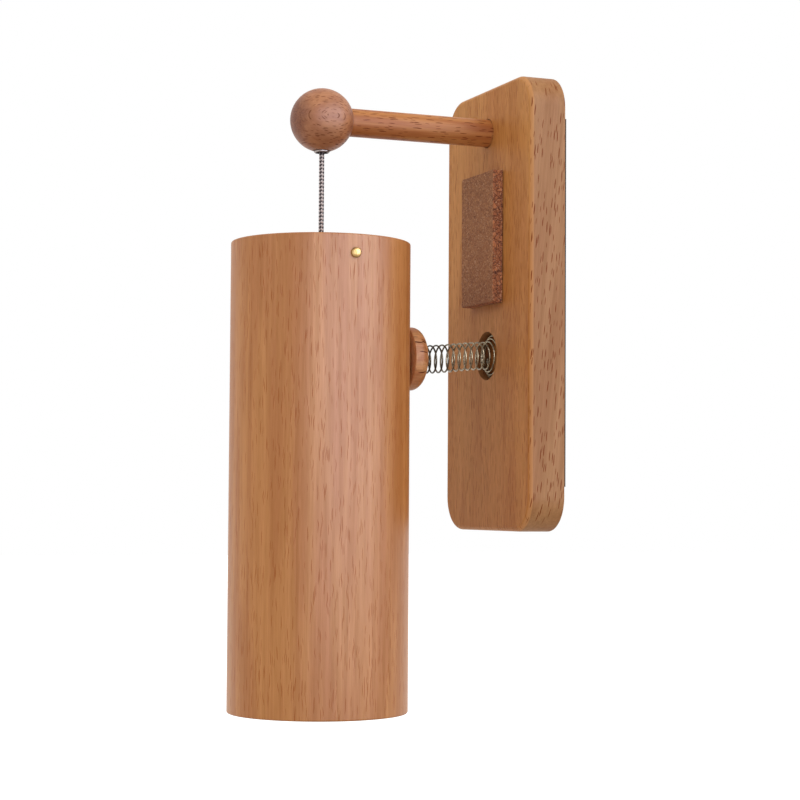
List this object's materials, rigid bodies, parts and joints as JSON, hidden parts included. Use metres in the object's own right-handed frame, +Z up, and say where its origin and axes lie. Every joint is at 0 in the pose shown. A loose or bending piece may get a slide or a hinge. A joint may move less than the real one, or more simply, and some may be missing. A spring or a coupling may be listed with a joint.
{
  "type": "door chime",
  "caption": "Wall-mounted door chime: a wooden tube with tuned rods inside hangs by a cord from a ball-ended arm on a back plate, and a sprung button keeps it off the plate.",
  "frame": {"origin": "centre of the mounting pad's back face, which lies on the wall", "axes": "+Y into the wall, +Z up, +X to the right for someone who faces the wall"},
  "size_m": [0.0716, 0.1085, 0.22],
  "materials": {
    "plate_beech": "satin varnish",
    "arm_beech": "satin varnish",
    "ball_beech": "satin varnish",
    "tube_beech": "satin varnish",
    "button_beech": "satin varnish",
    "inner_beech": "plain",
    "cork": "rough",
    "pad_foam": "matte",
    "eyelet_steel": "polished",
    "nail_brass": "polished",
    "rod_steel": "satin",
    "spring_bronze": "antique bronze",
    "braided_cord": "braided"
  },
  "bodies": {
    "wall_plate": {"back_plate": "plate_beech", "mounting_pad": "pad_foam", "cork_block": "cork", "hanger_arm": "arm_beech", "arm_ball": "ball_beech", "cord_eyelet": "eyelet_steel", "stopper_knot": "braided_cord", "bumper_spring": "spring_bronze"},
    "bumper": {"bumper_button": "button_beech"},
    "upper_bend": {"upper_cord_bend": "braided_cord"},
    "cord": {"hanging_cord": "braided_cord"},
    "lower_bend": {"lower_cord_bend": "braided_cord"},
    "knot": {"bar_knot": "braided_cord"},
    "tube": {"resonator_tube": "tube_beech", "cross_bar": "inner_beech", "brass_nail_near": "nail_brass", "brass_nail_far": "nail_brass", "rod_plate": "rod_steel", "chime_rod_1": "rod_steel", "chime_rod_2": "rod_steel", "chime_rod_3": "rod_steel", "chime_rod_4": "rod_steel", "chime_rod_5": "rod_steel", "chime_rod_6": "rod_steel", "chime_rod_7": "rod_steel", "chime_rod_8": "rod_steel"},
    "striker_bend": {"striker_cord_bend": "braided_cord"},
    "striker": {"striker_cord": "braided_cord", "striker_disc": "inner_beech", "striker_knot": "braided_cord"}
  },
  "joints": [
    {"name": "bumper_press", "type": "slide", "parent": "wall_plate", "child": "bumper", "axis": [0, 1, 0], "range_m": [0, 0.01], "stiffness_N_per_m": 250, "deforming": ["bumper_spring"]},
    {"name": "swing_side", "type": "hinge", "parent": "wall_plate", "child": "upper_bend", "pos_m": [0, -0.0775, 0.05165], "axis": [0, 1, 0], "range_deg": [-30, 30]},
    {"name": "swing_out", "type": "hinge", "parent": "upper_bend", "child": "cord", "pos_m": [0, -0.0775, 0.05165], "axis": [-1, 0, 0], "range_deg": [0, 30]},
    {"name": "rock_side", "type": "hinge", "parent": "cord", "child": "lower_bend", "pos_m": [0, -0.0775, 0.0166], "axis": [0, 1, 0], "range_deg": [-15, 15]},
    {"name": "rock_out", "type": "hinge", "parent": "lower_bend", "child": "knot", "pos_m": [0, -0.0775, 0.0166], "axis": [-1, 0, 0], "range_deg": [0, 15]},
    {"name": "tube_twist", "type": "hinge", "parent": "knot", "child": "tube", "pos_m": [0, -0.0775, 0.0166], "axis": [0, 0, 1], "continuous": true},
    {"name": "striker_side", "type": "hinge", "parent": "knot", "child": "striker_bend", "pos_m": [0, -0.0775, 0.0048], "axis": [0, 1, 0], "range_deg": [-2.8, 2.8]},
    {"name": "striker_out", "type": "hinge", "parent": "striker_bend", "child": "striker", "pos_m": [0, -0.0775, 0.0048], "axis": [-1, 0, 0], "range_deg": [-2.8, 2.8]}
  ]
}
